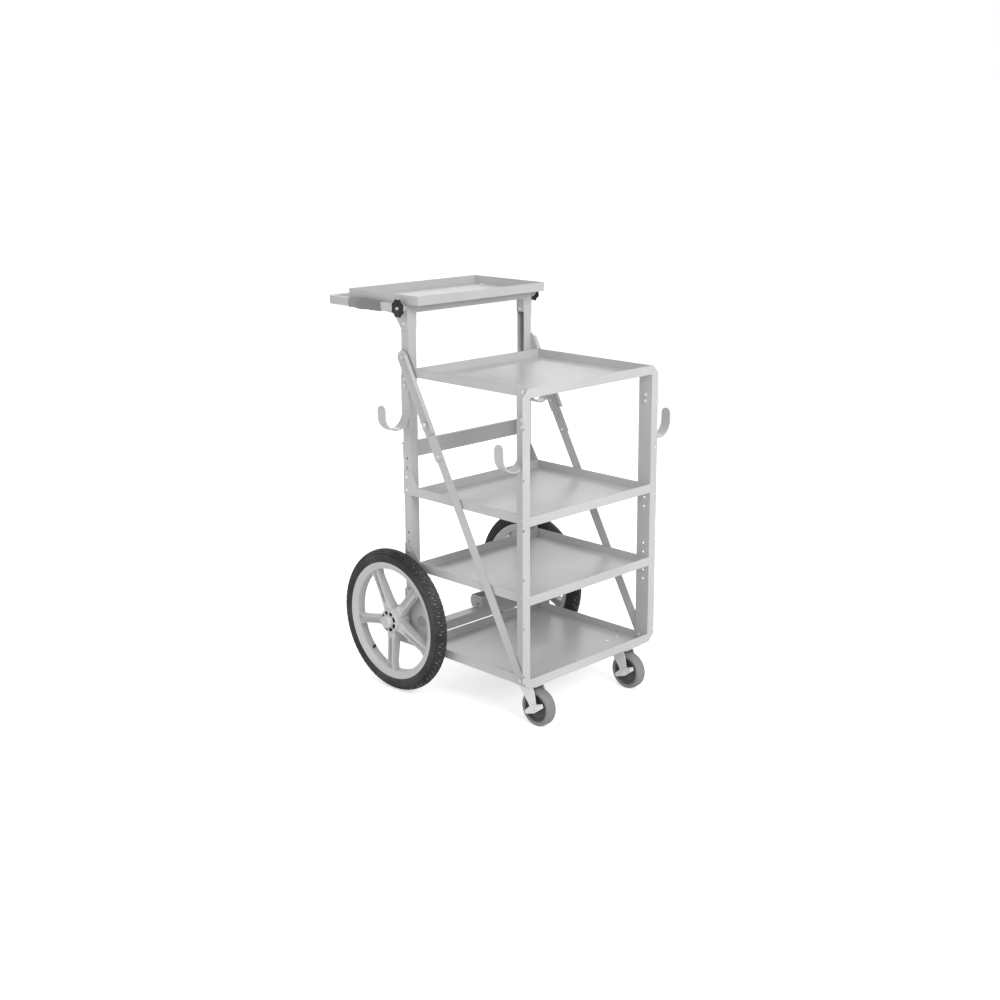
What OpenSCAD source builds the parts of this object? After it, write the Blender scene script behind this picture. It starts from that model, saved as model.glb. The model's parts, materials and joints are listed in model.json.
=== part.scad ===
// Four-shelf utility cart: steel trays bolted between angle and channel posts,
// two large pneumatic wheels at the rear, two braked swivel casters in front,
// a raised top tray and a fold-down push handle.
// +X is the width, +Y points to the rear (large wheels), +Z is up.

/* [Shelves] */
// Outside width of the shelf trays
shelf_w = 478; // [440:1:560]
// Depth of the shelf trays, front lip to rear lip
shelf_l = 428; // [380:1:520]
// Height of the lips around each tray
lip_h = 25; // [20:1:32]
// Sheet thickness of the trays
sheet_t = 2; // [1.5:0.1:3]
// Underside height of the lower shelf
lower_z = 351; // [320:1:380]
// Underside height of the middle shelf
middle_z = 562; // [520:1:600]
// Underside height of the upper shelf
upper_z = 894; // [840:1:960]
// Height of the rear gussets above the lips
gusset_h = 45; // [36:1:55]
// Gap between the trays' rear lips and the rear posts
ear_gap = 28; // [20:1:40]

/* [Posts] */
// Wall of the posts
post_t = 2.5; // [2:0.1:3.2]
// Width of the front posts' face, outward
front_face_w = 27; // [24:1:34]
// Depth of the front posts' side leg
front_leg_l = 45; // [40:1:52]
// Cut corner of the front posts' face
face_chamfer = 22; // [14:1:24]
// Width and depth of the rear channel posts
rear_post_w = 28; // [26:1:34]
// Pitch of the accessory holes down the front faces
face_hole_pitch = 131; // [120:1:140]
// Radius of the accessory holes
face_hole_r = 3.3; // [2.6:0.1:4]

/* [Top tray and handle] */
// Underside height of the top tray
tray_z = 1088; // [1040:1:1160]
// How far the top tray stands out beyond the shelves on each side
tray_over = 3; // [1:0.5:6]
// Depth of the top tray
tray_l = 286; // [240:1:320]
// How far the top tray reaches in front of the rear posts
tray_front_reach = 48; // [30:1:60]
// Height of the handle bar's section
handle_h = 24; // [20:1:28]
// Thickness of the handle bar's section
handle_t = 14; // [12:1:18]
// Reach of the handle behind its pivot
handle_reach = 305; // [260:1:340]
// Outside corner radius of the handle
handle_corner_r = 26; // [20:1:34]
// Length of each hand grip
grip_l = 134; // [110:1:150]
// Diameter of the clamp knobs
knob_d = 52; // [40:1:56]
// Radius of the clamp knobs' studs
stud_r = 4; // [3:0.5:5]

/* [Struts and hooks] */
// Height of the struts' top bolts above the upper shelf
strut_top_rise = 50; // [48:1:52]
// Width of the upper strut sections
strut_upper_w = 38; // [30:1:40]
// Width of the lower strut sections
strut_lower_w = 28; // [20:1:30]
// Thickness of the strut bars
strut_t = 3; // [2.5:0.1:4]
// Width of the hook straps
hook_w = 30; // [24:1:32]
// Thickness of the hook straps
hook_t = 3.5; // [3:0.1:5]
// Inside radius of the hooks
hook_r = 41; // [32:1:44]

/* [Large wheels] */
// Outside radius of the tyres
tyre_r = 203; // [196:1:210]
// Width of the tyres
tyre_w = 46; // [40:1:48]
// Height of the tyres above the rims' seats
tyre_h = 35; // [31:1:38]
// Radius of the stub axles
axle_r = 8; // [7:0.5:9]
// Running clearance of the axles
run_gap = 0.05; // [0.02:0.01:0.1]
// Distance of the axles behind the rear posts' back faces
axle_back = 9; // [8.5:0.5:14]
// Number of spokes
spokes = 5; // [4:1:6]

/* [Casters] */
// Radius of the caster wheels
caster_r = 51; // [46:1:53]
// Tread width of the caster wheels
caster_w = 34; // [28:1:38]
// Trail of the casters
caster_trail = 28; // [22:1:32]
// Distance of the swivels inside the shelves' sides
caster_inset = 55; // [50:1:90]
// Height of the fork crown and top plate above the caster wheels
caster_room = 22; // [20:1:30]
// Distance of the swivels behind the front face
caster_y = 49; // [46:1:60]

/* [Hidden] */
$fn = 64;

fit = 0.3;                              // clearance of bolts in their holes
bolt_r = 3;                             // shanks of the frame's bolts
half_w = shelf_w / 2;                   // outside of the trays' side lips
bottom_z = 2 * caster_r + caster_room;  // underside of the bottom shelf
tray_w = shelf_w + 2 * tray_over;
caster_x = half_w - caster_inset;
rim_r = tyre_r - tyre_h;                // where the tyres seat
post_y0 = shelf_l + ear_gap;            // front of the rear posts
post_y1 = post_y0 + rear_post_w;        // back of the rear posts
post_my = (post_y0 + post_y1) / 2;      // bolt line of the rear posts
post_x = half_w - sheet_t;              // outside of the rear posts
front_bolt_y = 21;                      // bolt line of the front posts' side legs
face_hole_x = front_face_w - 4;         // accessory holes, outward from the tray side
shelf_zs = [bottom_z, lower_z, middle_z, upper_z];

// struts: from the bottom bolt to the top bolt, in the plane beside the trays
strut_y0 = 30;
strut_z0 = bottom_z + 16;
strut_y1 = post_my;
strut_z1 = upper_z + strut_top_rise;
strut_len = sqrt(pow(strut_y1 - strut_y0, 2) + pow(strut_z1 - strut_z0, 2));
strut_tilt = atan2(strut_y1 - strut_y0, strut_z1 - strut_z0);
strut_x = half_w + post_t;              // inside face of the lower sections
strut_split = 0.755 * strut_len;        // lower end of the upper sections
strut_overlap = 62;                     // how far the sections overlap
splice_l = 74;                          // splice plate below each upper section
wing_s = strut_split + 30;              // wing screw along the strut

// large wheels
axle_y = post_y1 + axle_back;
axle_z = tyre_r;
plate_t = 4;                            // axle plate
plate_x = half_w;                       // inside face of the axle plates
flange_t = 4;                           // flange of the stub axle
wheel_gap = 0.6;                        // end float of the hub
wheel_in = plate_x + plate_t + flange_t + wheel_gap;
wheel_mid = wheel_in + 2.4 + tyre_w / 2;
hub_out = wheel_mid + 26;
hub_r = 32;
axle_end = hub_out + 10;
spoke_turn = 6;                         // turn of the first spoke
valve_turn = 42;                        // turn of the valve, between two spokes

// casters
crown_z = caster_r * 2 + 6.5;           // underside of the fork's crown
plate_z = bottom_z - 4;                 // underside of the caster's top plate
cheek_in = caster_w / 2 + 2;
cheek_t = 3;

// handle
pivot_y = post_my;
pivot_z = tray_z - handle_h / 2 + 2;
arm_x = tray_w / 2 + 4;                 // inside face of the handle's arms
bracket_t = 2.5;                        // tray brackets, outside the rear posts
tray_ear_z = tray_z - 53;               // lower bolt of the tray brackets
tray_y0 = post_y0 - tray_front_reach;
tray_y1 = tray_y0 + tray_l;
rail_x = post_x - rear_post_w / 2;      // bolts of the cross rails
rail_t = 2.5;
back_rail_z = middle_z + 98;            // underside of the back rail
back_rail_h = 44;
back_rail_lip = 12;
back_rail_bolt_z = back_rail_z + 20;
beam_h = 27;                            // axle beam, from the bottom shelf's underside
beam_d = 36;
beam_bolt_z = bottom_z + beam_h / 2;
right_channel_x = 58;                   // inner end of the right rear channel
left_channel_x = 118;                   // inner end of the left rear channel
rear_channel_d = 46;
rear_channel_h = 37;
channel_bolt_z = bottom_z + beam_h + rear_channel_h / 2;

// hooks: centres of their curves
rear_hook_z = upper_z - 100;
front_hook_z = upper_z - 140;
rear_hook_holes = [73, 91];             // bolts above the curve's centre
front_hook_holes = [64, 82];
y_mid = (pivot_y + handle_reach + caster_y - caster_trail - caster_r) / 2;

paint = [0.82, 0.83, 0.83];
zinc = [0.76, 0.77, 0.79];
black = [0.06, 0.06, 0.07];

module mirror_for(side) {
    if (side > 0) children();
    else mirror([1, 0, 0]) children();
}

// cylinder along +X from x0 to x1
module x_rod(x0, x1, r, y, z, n = 48) {
    translate([x0, y, z]) rotate([0, 90, 0]) cylinder(h = x1 - x0, r = r, $fn = n);
}

// plate in the YZ plane, from x0, of thickness t
module yz_plate(x0, t, points) {
    translate([x0, 0, 0]) rotate([90, 0, 90]) linear_extrude(t) polygon(points);
}

// hex-headed bolt along +X: shank from x0 to x1, head outside x1, nut inside x0
module x_bolt(x0, x1, y, z, r = bolt_r, nut = true) {
    x_rod(x0 - (nut ? 5 : 0), x1, r, y, z, 32);
    translate([x1, y, z]) rotate([0, 90, 0]) cylinder(h = 3.2, r = r * 1.8, $fn = 6);
    if (nut) translate([x0 - 4, y, z]) rotate([0, 90, 0]) cylinder(h = 4, r = r * 1.8, $fn = 6);
}

// ---- posts ----

// C-channel, web outside, with the bolt holes of the shelves, strut, knob and hook
module rear_post(side) {
    color(paint) mirror_for(side) difference() {
        translate([post_x - rear_post_w, post_y0, bottom_z])
            cube([rear_post_w, rear_post_w, tray_z - bottom_z]);
        translate([post_x - rear_post_w - 1, post_y0 + post_t, bottom_z - 1])
            cube([rear_post_w + 1 - post_t, rear_post_w - 2 * post_t, tray_z - bottom_z + 2]);
        for (z = rear_post_holes()) x_rod(post_x - 6, post_x + 6, bolt_r + fit, post_my, z, 32);
        x_rod(post_x - 6, post_x + 6, stud_r + fit, pivot_y, pivot_z, 32);
        for (z = [back_rail_bolt_z, beam_bolt_z, channel_bolt_z]) rail_holes(z);
    }
}

function rear_post_holes() = concat(
    [for (z = shelf_zs) z + lip_h / 2],
    [for (z = shelf_zs) z + strut_top_rise],
    [for (z = [lower_z, middle_z], k = [1 : 2]) z + strut_top_rise + 26 * k],
    [for (h = rear_hook_holes) rear_hook_z + h], [tray_ear_z]);

// angle: side leg against the trays, face pointing outward with cut corners
module front_post(side) {
    z0 = bottom_z;
    z1 = upper_z + lip_h;
    color(paint) mirror_for(side) difference() {
        union() {
            translate([half_w, 0, z0]) cube([post_t, front_leg_l, z1 - z0]);
            translate([half_w, post_t, 0]) rotate([90, 0, 0]) linear_extrude(post_t)
                polygon([[0, z0], [front_face_w - face_chamfer, z0], [front_face_w, z0 + face_chamfer],
                         [front_face_w, z1 - face_chamfer], [front_face_w - face_chamfer, z1], [0, z1]]);
        }
        for (z = face_hole_zs)
            translate([half_w + face_hole_x, -1, z]) rotate([-90, 0, 0])
                cylinder(h = post_t + 2, r = face_hole_r, $fn = 32);
        for (z = front_leg_holes()) x_rod(half_w - 1, half_w + post_t + 1, bolt_r + fit, front_bolt_y, z, 32);
        x_rod(half_w - 1, half_w + post_t + 1, bolt_r + fit, strut_y0, strut_z0, 32);
    }
}

face_hole_zs = [for (k = [0 : 5]) bottom_z + 38 + face_hole_pitch * k];

function front_leg_holes() = concat(
    [for (z = [lower_z, middle_z, upper_z]) z + lip_h / 2],
    [for (z = [lower_z, middle_z], k = [1 : 2]) z + 10 - 26 * k],
    [for (k = [1 : 2]) lower_z + lip_h - 14 + 26 * k],
    [for (h = front_hook_holes) front_hook_z + h]);

// ---- shelves ----

// tray with lips all round and side lips running back as gusseted ears
module shelf(z) {
    ear_end = post_y1;
    color(paint) translate([0, 0, z]) difference() {
        union() {
            translate([-half_w, 0, 0]) cube([shelf_w, shelf_l, sheet_t]);
            translate([-half_w, 0, 0]) cube([shelf_w, sheet_t, lip_h]);
            translate([-half_w, shelf_l - sheet_t, 0]) cube([shelf_w, sheet_t, lip_h]);
            for (x = [-half_w, half_w - sheet_t]) {
                yz_plate(x, sheet_t, [[0, 0], [ear_end, 0], [ear_end, lip_h + gusset_h],
                                      [post_y0, lip_h + gusset_h], [shelf_l, lip_h], [0, lip_h]]);
            }
        }
        for (h = [lip_h / 2, strut_top_rise])
            x_rod(-half_w - 1, half_w + 1, bolt_r + fit, post_my, h, 32);
        if (z > bottom_z) x_rod(-half_w - 1, half_w + 1, bolt_r + fit, front_bolt_y, lip_h / 2, 32);
        if (z == bottom_z) {
            x_rod(-half_w - 1, half_w + 1, bolt_r + fit, strut_y0, strut_z0 - z, 32);
            for (s = [-1, 1]) for (dx = [-1, 1]) for (dy = [-1, 1])
                translate([s * caster_x + dx * 22, caster_y + dy * 36, -1])
                    cylinder(h = sheet_t + 2, r = bolt_r + fit, $fn = 32);
        }
    }
}

// ---- top tray and its supports ----

module top_tray() {
    w = tray_w / 2;
    color(paint) difference() {
        translate([-w, tray_y0, tray_z]) cube([tray_w, tray_l, lip_h]);
        translate([-w + sheet_t, tray_y0 + sheet_t, tray_z + sheet_t])
            cube([tray_w - 2 * sheet_t, tray_l - 2 * sheet_t, lip_h]);
        for (p = tray_screw_spots())
            translate([p[0], p[1], tray_z - 1]) cylinder(h = sheet_t + 2, r = 2.5 + fit, $fn = 32);
    }
}

function tray_screw_spots() = [for (x = [-1, 1], y = [post_y1 + 20, tray_y1 - 44]) [x * (post_x - 10), y]];

// angle under the tray's side, its ear tapering down the post
module tray_bracket(side) {
    y_end = tray_y1 - 34;
    color(paint) mirror_for(side) difference() {
        union() {
            yz_plate(post_x, bracket_t, [
                [post_y0, tray_z - 70], [post_y1 - 5, tray_z - 70], [post_y1 + 26, tray_z - 28],
                [y_end, tray_z - 18], [y_end, tray_z], [post_y0, tray_z]]);
            translate([post_x - 20, post_y1 + 2, tray_z - bracket_t])
                cube([20, y_end - post_y1 - 2, bracket_t]);
        }
        x_rod(post_x - 1, post_x + bracket_t + 1, stud_r + fit, pivot_y, pivot_z, 32);
        x_rod(post_x - 1, post_x + bracket_t + 1, bolt_r + fit, post_my, tray_ear_z, 32);
        for (p = tray_screw_spots()) if (p[0] > 0)
            translate([p[0], p[1], tray_z - bracket_t - 1])
                cylinder(h = bracket_t + 2, r = 2.5 + fit, $fn = 32);
    }
}

// ---- cross rails ----

// angle between the rear posts under the tray, with end tabs over the channels' mouths
module top_rail() {
    x = post_x - rear_post_w;
    color(paint) difference() {
        union() {
            translate([-x, post_y0, tray_z - 24]) cube([2 * x, rail_t, 24]);
            translate([-x, post_y0, tray_z - rail_t]) cube([2 * x, 24, rail_t]);
            for (x0 = [-x, x - rail_t]) translate([x0, post_y0, tray_ear_z - 9])
                cube([rail_t, rear_post_w, tray_z - tray_ear_z + 9]);
        }
        x_rod(-x - 1, x + 1, bolt_r + fit, post_my, tray_ear_z, 32);
    }
}

// bolt holes of a cross rail, through its wall at the posts' back
module rail_holes(z) {
    for (s = [-1, 1]) translate([s * rail_x, post_y1 - post_t - 1, z]) rotate([-90, 0, 0])
        cylinder(h = post_t + rail_t + 2, r = bolt_r + fit, $fn = 32);
}

// angle across the posts' backs with a lip behind its top edge
module back_rail() {
    color(paint) difference() {
        union() {
            translate([-post_x, post_y1, back_rail_z]) cube([2 * post_x, rail_t, back_rail_h]);
            translate([-post_x, post_y1, back_rail_z + back_rail_h - rail_t])
                cube([2 * post_x, back_rail_lip, rail_t]);
        }
        rail_holes(back_rail_bolt_z);
    }
}

// channel across the posts' feet, open at the back, between the axle plates
module axle_beam() {
    color(paint) difference() {
        translate([-half_w, post_y1, bottom_z]) cube([shelf_w, beam_d, beam_h]);
        translate([-half_w - 1, post_y1 + rail_t, bottom_z + rail_t])
            cube([shelf_w + 2, beam_d, beam_h - 2 * rail_t]);
        rail_holes(beam_bolt_z);
    }
}

// open-topped channel on the axle beam, with a drilled inner end
module rear_channel(side) {
    x0 = side > 0 ? right_channel_x : left_channel_x;
    z0 = bottom_z + beam_h;
    y1 = post_y1 + rear_channel_d;
    color(paint) mirror_for(side) difference() {
        union() {
            translate([x0, post_y1, z0]) cube([half_w - x0, rear_channel_d, rail_t]);
            for (y = [post_y1, y1 - rail_t])
                translate([x0, y, z0]) cube([half_w - x0, rail_t, rear_channel_h]);
            yz_plate(x0, rail_t, [
                [post_y1, z0], [y1 - 10, z0], [y1 + 4, z0 + 10],
                [y1 + 4, z0 + rear_channel_h - 8], [y1 - 6, z0 + rear_channel_h],
                [post_y1, z0 + rear_channel_h]]);
        }
        x_rod(x0 - 1, x0 + rail_t + 1, 4, post_y1 + 18, z0 + 14, 32);
        rail_holes(channel_bolt_z);
    }
}

// ---- struts ----

// places children at the strut's bottom bolt, +Z along the strut, +Y towards the rear edge
module on_strut(side) {
    mirror_for(side) translate([0, strut_y0, strut_z0]) rotate([-strut_tilt, 0, 0]) children();
}

// flat bar with round ends, from a to b along the strut
module strut_bar(x, w, a, b, holes, round_a = true, round_b = true) {
    ra = round_a ? w / 2 : 0;
    rb = round_b ? w / 2 : 0;
    difference() {
        union() {
            translate([x, -w / 2, a + ra]) cube([strut_t, w, b - a - ra - rb]);
            if (round_a) x_rod(x, x + strut_t, w / 2, 0, a + ra);
            if (round_b) x_rod(x, x + strut_t, w / 2, 0, b - rb);
        }
        for (s = holes) x_rod(x - 1, x + strut_t + 1, bolt_r + fit, 0, s, 32);
    }
}

splice_s = strut_split - splice_l + 12; // splice bolt along the strut
strut_lip = 12;                         // outward lip of the upper sections

module strut_lower(side) {
    color(paint) on_strut(side)
        strut_bar(strut_x, strut_lower_w, -strut_lower_w / 2, strut_split + strut_overlap,
                  [0, splice_s, wing_s], true, false);
}

module strut_upper(side) {
    x = strut_x + strut_t;
    color(paint) on_strut(side) {
        strut_bar(x, strut_upper_w, strut_split, strut_len + strut_upper_w / 2,
                  [wing_s, strut_len], false, true);
        translate([x, -strut_upper_w / 2, strut_split]) cube([strut_lip, strut_t, strut_len - strut_split]);
    }
}

module strut_splices() {
    for (side = [-1, 1]) color(paint) on_strut(side)
        strut_bar(strut_x + strut_t, strut_lower_w + 3, strut_split - splice_l, strut_split - 1,
                  [splice_s], false, false);
}

module wing_screw(side) {
    x = strut_x + 2 * strut_t;
    color(zinc) on_strut(side) {
        x_rod(strut_x - 6, x + 4, bolt_r, 0, wing_s, 32);
        x_rod(x + 0.3, x + 9, 6, 0, wing_s);
        for (s = [0, 1]) translate([0, 0, wing_s]) mirror([0, 0, s]) rotate([90, 0, 0])
            translate([0, 0, -1.3]) linear_extrude(2.6)
                polygon([[x + 1, 0], [x + 10, 0], [x + 20, 9], [x + 20, 14], [x + 15, 14], [x + 9, 6], [x + 1, 6]]);
    }
}

// ---- hooks ----

// J of flat strap: shank from x0, curve centred at height zc, bolts at heights above it
module hook(x0, y, zc, holes, tip_h) {
    xc = x0 + hook_t + hook_r;
    color(paint) difference() {
        union() {
            translate([x0, y - hook_w / 2, zc]) cube([hook_t, hook_w, max(holes) + 9]);
            translate([xc, y + hook_w / 2, zc]) rotate([90, 0, 0]) difference() {
                cylinder(h = hook_w, r = hook_r + hook_t, $fn = 96);
                translate([0, 0, -1]) cylinder(h = hook_w + 2, r = hook_r, $fn = 96);
                translate([-2 * hook_r, 0, -1]) cube([4 * hook_r, 2 * hook_r, hook_w + 2]);
            }
            translate([xc + hook_r, y - hook_w / 2, zc]) cube([hook_t, hook_w, tip_h]);
            x_rod(xc + hook_r, xc + hook_r + hook_t, hook_w / 2, y, zc + tip_h);
        }
        for (h = holes) x_rod(x0 - 1, x0 + hook_t + 1, bolt_r + fit, y, zc + h, 32);
    }
}

module rear_hook(side) {
    mirror_for(side) hook(post_x, post_my, rear_hook_z, rear_hook_holes, 15);
}

module front_hook(side) {
    mirror_for(side) hook(half_w + post_t, front_bolt_y, front_hook_z, front_hook_holes, 18);
}

// ---- axles ----

// plate bolted over the bottom shelf's ear, the axle behind the post
module axle_plate(side) {
    y_end = post_y1 + rear_channel_d;
    y0 = post_y0 - 72;
    color(paint) mirror_for(side) difference() {
        yz_plate(plate_x, plate_t, [
            [y0, bottom_z + 4], [y_end, bottom_z + 4], [y_end, axle_z + 24],
            [post_y1, axle_z + 42], [post_y1, axle_z + 87], [post_y0, axle_z + 87], [y0, axle_z + 37]]);
        for (z = [bottom_z + lip_h / 2, bottom_z + strut_top_rise])
            x_rod(plate_x - 1, plate_x + plate_t + 1, bolt_r + fit, post_my, z, 32);
        x_rod(plate_x - 1, plate_x + plate_t + 1, 18, post_y0 - 41, axle_z + 2, 48);
        for (z = [axle_z + 48, axle_z + 68])
            x_rod(plate_x - 1, plate_x + plate_t + 1, 5, post_my, z, 32);
    }
}

module stub_axle(side) {
    color(zinc) mirror_for(side) union() {
        translate([plate_x + plate_t, axle_y - 22, axle_z - 22]) cube([flange_t, 44, 44]);
        x_rod(plate_x + plate_t, axle_end, axle_r, axle_y, axle_z);
    }
}

module axle_nuts() {
    for (side = [-1, 1]) color(zinc) mirror_for(side) difference() {
        translate([hub_out + 0.4, axle_y, axle_z]) rotate([0, 90, 0]) cylinder(h = 8, r = 13, $fn = 6);
        x_rod(hub_out - 1, axle_end + 2, axle_r + fit, axle_y, axle_z);
    }
}

// ---- fasteners ----

module shelf_bolts() {
    color(zinc) for (side = [-1, 1]) mirror_for(side) {
        for (z = [lower_z, middle_z, upper_z])
            x_bolt(half_w - sheet_t, half_w + post_t, front_bolt_y, z + lip_h / 2);
        for (z = [lower_z, middle_z]) for (h = [lip_h / 2, strut_top_rise])
            x_bolt(post_x - post_t, half_w, post_my, z + h);
        x_bolt(post_x - post_t, half_w, post_my, upper_z + lip_h / 2);
        for (h = [lip_h / 2, strut_top_rise])
            x_bolt(post_x - post_t, plate_x + plate_t, post_my, bottom_z + h);
    }
}

module strut_bolts() {
    color(zinc) for (side = [-1, 1]) mirror_for(side) {
        x_bolt(half_w - sheet_t, strut_x + strut_t, strut_y0, strut_z0);
        x_bolt(post_x - post_t, strut_x + 2 * strut_t, post_my, strut_z1);
        difference() {
            x_rod(half_w, strut_x + strut_t, 10, post_my, strut_z1);
            x_rod(half_w - 1, strut_x + strut_t + 1, bolt_r + fit, post_my, strut_z1);
        }
    }
    color(zinc) for (side = [-1, 1]) on_strut(side) {
        x_bolt(strut_x, strut_x + 2 * strut_t, 0, splice_s);
        difference() {
            translate([strut_x - 4.5, 0, wing_s]) rotate([0, 90, 0]) cylinder(h = 4.5, r = 6, $fn = 6);
            x_rod(strut_x - 6, strut_x + 1, bolt_r + fit, 0, wing_s);
        }
    }
}

module hook_bolts() {
    color(zinc) for (side = [-1, 1]) mirror_for(side) {
        for (h = rear_hook_holes) x_bolt(post_x - post_t, post_x + hook_t, post_my, rear_hook_z + h);
        for (h = front_hook_holes)
            x_bolt(half_w, half_w + post_t + hook_t, front_bolt_y, front_hook_z + h);
    }
}

// hex bolts of the cross rails, heads behind
module rail_bolts() {
    color(zinc) for (s = [-1, 1]) for (z = [back_rail_bolt_z, beam_bolt_z, channel_bolt_z])
        translate([s * rail_x, post_y1, z]) rotate([-90, 0, 0]) {
            translate([0, 0, -post_t - 4]) cylinder(h = post_t + rail_t + 4, r = bolt_r, $fn = 32);
            translate([0, 0, rail_t]) cylinder(h = 3.2, r = bolt_r * 1.8, $fn = 6);
            translate([0, 0, -post_t - 4]) cylinder(h = 4, r = bolt_r * 1.8, $fn = 6);
        }
}

module tray_screws() {
    color(zinc) for (p = tray_screw_spots()) translate([p[0], p[1], 0]) union() {
        translate([0, 0, tray_z - bracket_t - 4]) cylinder(h = bracket_t + sheet_t + 4, r = 2.5, $fn = 32);
        translate([0, 0, tray_z + sheet_t]) cylinder(h = 2, r = 5, $fn = 32);
        translate([0, 0, tray_z - bracket_t - 4]) cylinder(h = 4, r = 4.6, $fn = 6);
    }
    color(zinc) for (side = [-1, 1]) mirror_for(side)
        x_bolt(post_x - rear_post_w - rail_t, post_x + bracket_t, post_my, tray_ear_z);
}

module caster_bolts() {
    color(zinc) for (s = [-1, 1]) for (dx = [-1, 1]) for (dy = [-1, 1])
        translate([s * caster_x + dx * 22, caster_y + dy * 36, 0]) union() {
            translate([0, 0, plate_z - 4]) cylinder(h = 4 + 4 + sheet_t, r = bolt_r, $fn = 32);
            translate([0, 0, bottom_z + sheet_t]) cylinder(h = 2.2, r = 5.6, $fn = 32);
            translate([0, 0, plate_z - 4]) cylinder(h = 4, r = 5.4, $fn = 6);
        }
}

// nut inside each rear post and spacer outside it, on the knob's stud
module knob_nuts() {
    color(zinc) for (side = [-1, 1]) mirror_for(side) difference() {
        union() {
            translate([post_x - post_t - 6, pivot_y, pivot_z]) rotate([0, 90, 0])
                cylinder(h = 6, r = 8, $fn = 6);
            x_rod(post_x + bracket_t, arm_x - 0.3, 10, pivot_y, pivot_z);
        }
        x_rod(post_x - 20, arm_x + 1, stud_r + run_gap, pivot_y, pivot_z);
    }
}

// ---- handle ----

module handle_outline(inset) {
    w = arm_x + handle_t - inset;
    y = pivot_y + handle_reach - inset;
    r = handle_corner_r - inset;
    translate([-w, pivot_y]) square([2 * w, y - pivot_y - r]);
    translate([-w + r, pivot_y]) square([2 * (w - r), y - pivot_y]);
    for (s = [-1, 1]) translate([s * (w - r), y - r]) circle(r);
}

module handle_bar() {
    color(paint) difference() {
        union() {
            translate([0, 0, pivot_z - handle_h / 2]) linear_extrude(handle_h) difference() {
                handle_outline(0);
                handle_outline(handle_t);
                translate([-arm_x, pivot_y - 1]) square([2 * arm_x, 40]);
            }
            for (s = [-1, 1]) mirror_for(s)
                x_rod(arm_x, arm_x + handle_t, handle_h / 2, pivot_y, pivot_z);
        }
        for (s = [-1, 1]) mirror_for(s)
            x_rod(arm_x - 1, arm_x + handle_t + 1, stud_r + run_gap, pivot_y, pivot_z);
    }
}

// palm-swelled sleeve around the handle's arm
module grip(side) {
    y0 = pivot_y + 70;
    wall = 2.4;
    h = handle_h / 2 + wall;
    color([0.45, 0.46, 0.47]) mirror_for(side) difference() {
        translate([arm_x - wall, 0, 0]) yz_plate(0, handle_t + 2 * wall, [
            [y0, pivot_z - h], [y0 + grip_l * 0.6, pivot_z - h - 2.5], [y0 + grip_l * 0.85, pivot_z - h],
            [y0 + grip_l, pivot_z - h + 1], [y0 + grip_l, pivot_z + h - 1], [y0 + grip_l * 0.6, pivot_z + h],
            [y0, pivot_z + h]]);
        translate([arm_x, y0 - 1, pivot_z - handle_h / 2]) cube([handle_t, grip_l + 2, handle_h]);
    }
}

// lobed clamp knob with its stud
module knob(side) {
    x0 = arm_x + handle_t + 0.3;
    lobes = 8;
    color(black) mirror_for(side) union() {
        difference() {
            x_rod(x0 + 3, x0 + 23, knob_d / 2, pivot_y, pivot_z, 96);
            for (i = [0 : lobes - 1]) {
                a = 360 / lobes * i;
                r = knob_d / 2 + 2.4;
                x_rod(x0, x0 + 30, 5, pivot_y + r * cos(a), pivot_z + r * sin(a), 32);
            }
        }
        x_rod(x0, x0 + 27, knob_d * 0.27, pivot_y, pivot_z);
        x_rod(post_x - post_t - 9, x0 + 4, stud_r, pivot_y, pivot_z);
    }
}

// ---- large wheels ----

// children are drawn in the XY plane as (radius, width) and spun about the axle
module on_axle(side) {
    mirror_for(side) translate([wheel_mid, axle_y, axle_z]) rotate([0, 90, 0]) children();
}

module tyre(side) {
    w = tyre_w / 2;
    color([0.09, 0.09, 0.09]) on_axle(side) rotate_extrude($fn = 128) difference() {
        translate([tyre_r - w, 0]) circle(w);
        translate([tyre_r - w, 0]) circle(w - 5);
        translate([0, -w - 1]) square([rim_r + 0.2, tyre_w + 2]);
    }
    // valve of the inner tube, through the rim
    color([0.09, 0.09, 0.09]) on_axle(side) rotate([0, 0, valve_turn]) translate([rim_r - 32, 0, 0])
        rotate([0, 90, 0]) cylinder(h = 30, r = 4, $fn = 32);
}

module wheel(side) {
    barrel = 17;
    color(paint) on_axle(side) difference() {
        union() {
            rotate_extrude($fn = 128) polygon([
                [rim_r - 20, -14], [rim_r - 6, -barrel], [rim_r, -barrel - 2], [rim_r, -barrel + 5],
                [rim_r - 8, -barrel + 8], [rim_r - 8, barrel - 8], [rim_r, barrel - 5], [rim_r, barrel + 2],
                [rim_r - 6, barrel], [rim_r - 20, 14]]);
            translate([0, 0, wheel_in - wheel_mid]) cylinder(h = hub_out - wheel_in, r = hub_r);
            for (i = [0 : spokes - 1]) rotate([0, 0, 360 / spokes * i + spoke_turn]) spoke();
        }
        translate([0, 0, hub_out - wheel_mid - 7]) hub_slots();
        rotate([0, 0, valve_turn]) translate([rim_r - 30, 0, 0]) rotate([0, 90, 0])
            cylinder(h = 30, r = 4 + fit, $fn = 32);
        translate([0, 0, wheel_in - wheel_mid - 1])
            cylinder(h = hub_out - wheel_in + 2, r = axle_r + run_gap, $fn = 96);
    }
}

// ring of pockets in the hub's outer face
module hub_slots() {
    difference() {
        cylinder(h = 8, r = hub_r - 3);
        translate([0, 0, -1]) cylinder(h = 10, r = hub_r - 11);
        for (i = [0 : 3]) rotate([0, 0, 45 * i]) translate([-hub_r, -3, -1]) cube([2 * hub_r, 6, 10]);
    }
}

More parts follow.
